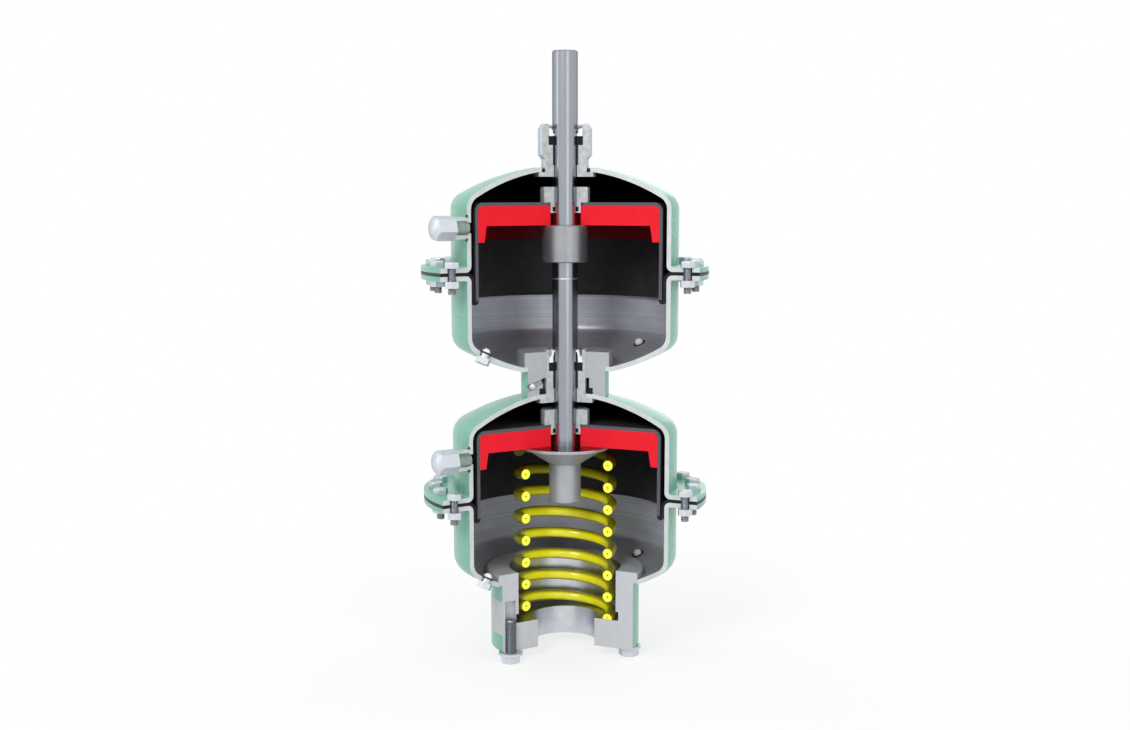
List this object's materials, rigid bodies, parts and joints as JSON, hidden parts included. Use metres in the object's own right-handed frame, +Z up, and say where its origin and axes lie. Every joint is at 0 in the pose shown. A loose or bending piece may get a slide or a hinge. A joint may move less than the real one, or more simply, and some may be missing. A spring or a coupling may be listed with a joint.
{
  "type": "pneumatic diaphragm actuator",
  "caption": "Cutaway tandem pneumatic diaphragm actuator with two flanged chambers, a sliding rod through both, and a coil return spring below.",
  "frame": {"origin": "centre of the spigot bore at the mounting face under the spring housing", "axes": "+Z up along the rod, from the spring housing to the rod's free end; +X to the right of the cut and -Y towards the open side of the cutaway"},
  "size_m": [0.284, 0.2544, 0.6015],
  "materials": {
    "casing_paint": "gloss mint enamel over pressed steel",
    "machined_steel": "turned steel",
    "zinc": "bright zinc plate",
    "rod_steel": "ground and polished",
    "plate_red": "satin red enamel",
    "black_rubber": "moulded, matt",
    "bush_plastic": "dark filled nylon",
    "wiper_plastic": "white acetal",
    "spring_yellow": "gloss yellow powder coat"
  },
  "bodies": {
    "casing": {"upper_cover": "casing_paint", "upper_bowl": "casing_paint", "lower_cover": "casing_paint", "lower_bowl": "casing_paint", "upper_diaphragm": "black_rubber", "lower_diaphragm": "black_rubber", "upper_flange_bolts": "zinc", "upper_flange_nuts": "zinc", "lower_flange_bolts": "zinc", "lower_flange_nuts": "zinc", "top_gland": "zinc", "top_gland_o_ring": "black_rubber", "top_guide_bush": "bush_plastic", "top_rod_seal": "black_rubber", "top_wiper": "wiper_plastic", "centre_hub": "machined_steel", "hub_vent_ball": "zinc", "hub_gland": "zinc", "hub_guide_bush": "bush_plastic", "hub_rod_seal": "black_rubber", "hub_wiper": "wiper_plastic", "hub_o_ring": "black_rubber", "upper_port_boss": "casing_paint", "upper_port_nipple": "zinc", "upper_port_cap": "zinc", "lower_port_boss": "casing_paint", "lower_port_nipple": "zinc", "lower_port_cap": "zinc", "upper_vent_plugs": "zinc", "lower_vent_plugs": "zinc", "spring_housing": "machined_steel", "mounting_bolts": "zinc", "mounting_washers": "zinc", "return_spring": "spring_yellow"},
    "stem": {"upper_rod": "rod_steel", "lower_rod": "rod_steel", "rod_collar": "machined_steel", "upper_plate": "plate_red", "upper_plate_nut": "zinc", "upper_nut_o_ring": "black_rubber", "lower_plate": "plate_red", "lower_plate_nut": "zinc", "lower_nut_o_ring": "black_rubber", "spring_seat": "machined_steel"}
  },
  "joints": [
    {"name": "stem_slide", "type": "slide", "parent": "casing", "child": "stem", "axis": [0, 0, -1], "range_m": [0, 0.05], "stiffness_N_per_m": 26000, "springref_m": -0.03, "deforming": ["return_spring", "upper_diaphragm", "lower_diaphragm"]}
  ]
}
